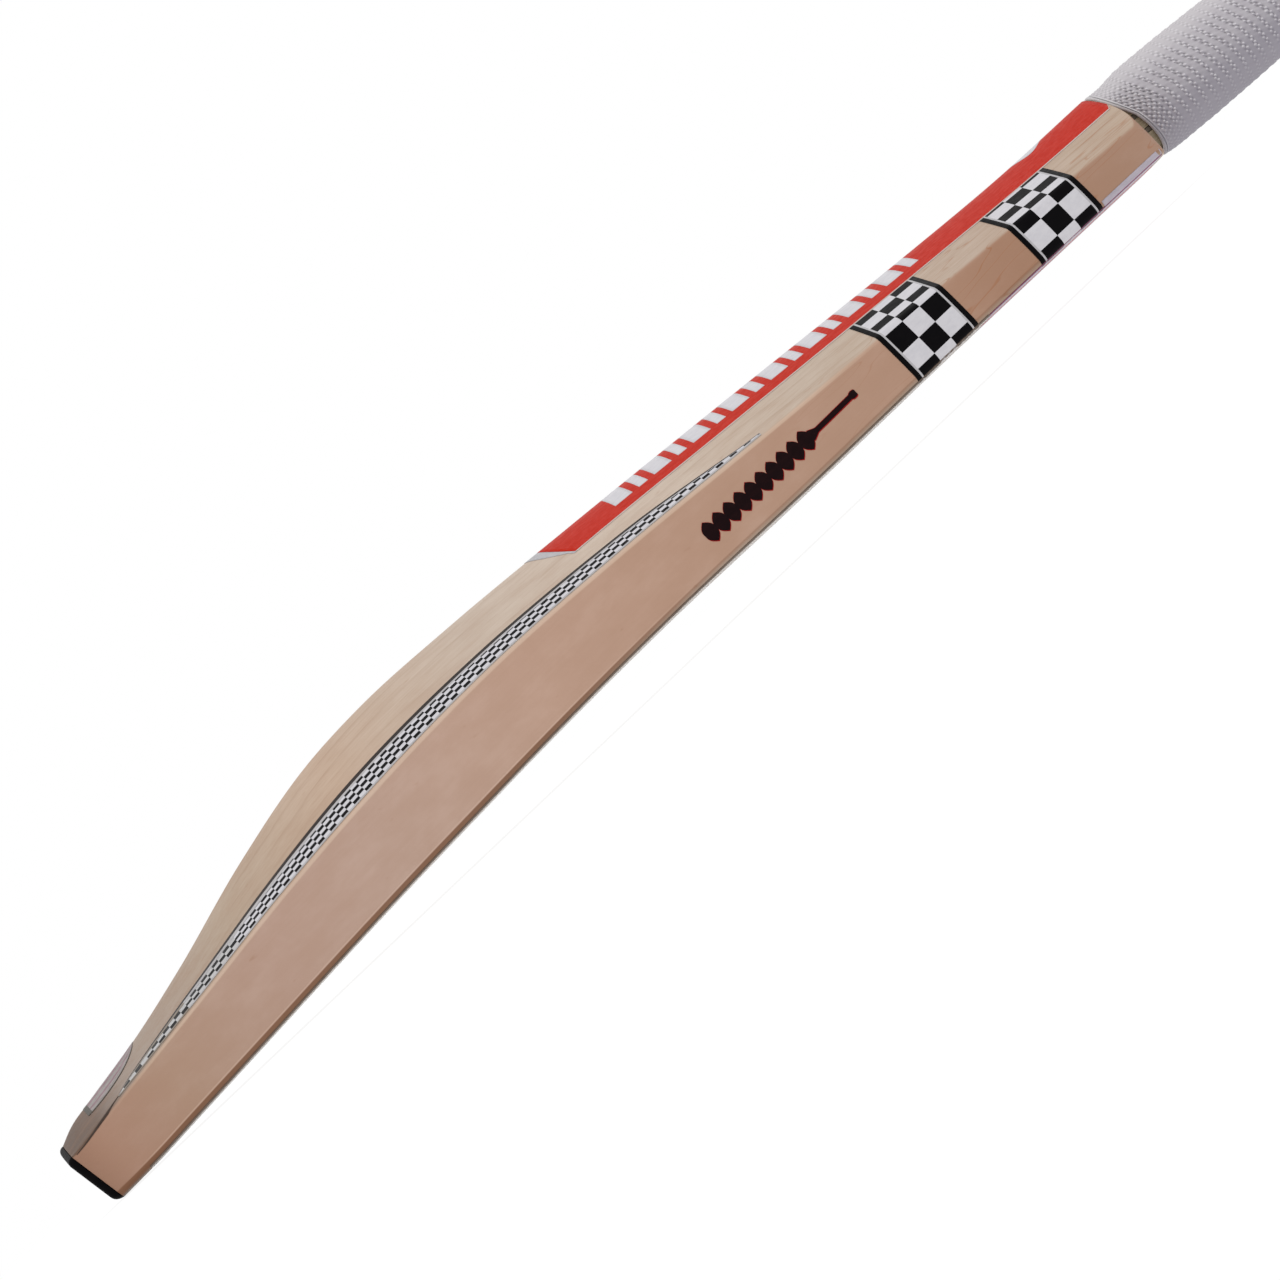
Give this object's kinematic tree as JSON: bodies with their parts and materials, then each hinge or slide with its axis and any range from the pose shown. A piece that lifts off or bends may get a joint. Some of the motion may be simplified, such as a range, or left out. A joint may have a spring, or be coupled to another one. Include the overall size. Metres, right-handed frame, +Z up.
{
  "type": "cricket bat",
  "caption": "Cricket bat lying face down: willow blade with thick edges and a raised spine, spliced handle in a pimpled rubber grip, toe guard, spine label, bands and edge labels.",
  "frame": {"origin": "middle of the bounding box in length and width, at the surface the bat lies on", "axes": "+X runs along the bat from the toe to the end of the handle, +Y across the blade, +Z up from the face, which is underneath, to the spine"},
  "size_m": [0.8612, 0.1084, 0.0747],
  "materials": {
    "willow": "smooth oiled",
    "cane": "satin",
    "spring_rubber": "matte",
    "twine": "waxed thread",
    "grip_rubber": "pimpled, matte",
    "toe_rubber": "satin",
    "clear_sheet": "glossy, see-through fibre sheet",
    "red_label": "satin vinyl",
    "silver_label": "satin metallic vinyl",
    "chequer_label": "satin vinyl, black and white chequers",
    "black_decal": "matte print"
  },
  "bodies": {
    "root": {"band_lower_left": "chequer_label", "band_lower_right": "chequer_label", "band_upper_left": "chequer_label", "band_upper_right": "chequer_label", "blade": "willow", "edge_decal_left": "black_decal", "edge_decal_right": "black_decal", "edge_strip_left": "chequer_label", "edge_strip_right": "chequer_label", "face_label": "silver_label", "face_sheet": "clear_sheet", "grip": "grip_rubber", "handle_cane_1_left": "cane", "handle_cane_1_middle": "cane", "handle_cane_1_right": "cane", "handle_cane_2_left": "cane", "handle_cane_2_middle": "cane", "handle_cane_2_right": "cane", "handle_cane_3_left": "cane", "handle_cane_3_middle": "cane", "handle_cane_3_right": "cane", "handle_cane_4_left": "cane", "handle_cane_4_middle": "cane", "handle_cane_4_right": "cane", "handle_spring_1": "spring_rubber", "handle_spring_2": "spring_rubber", "handle_spring_3": "spring_rubber", "spine_label": "red_label", "spine_label_tail": "silver_label", "toe_guard": "toe_rubber", "toe_label": "silver_label", "twine_binding": "twine"}
  },
  "joints": []
}
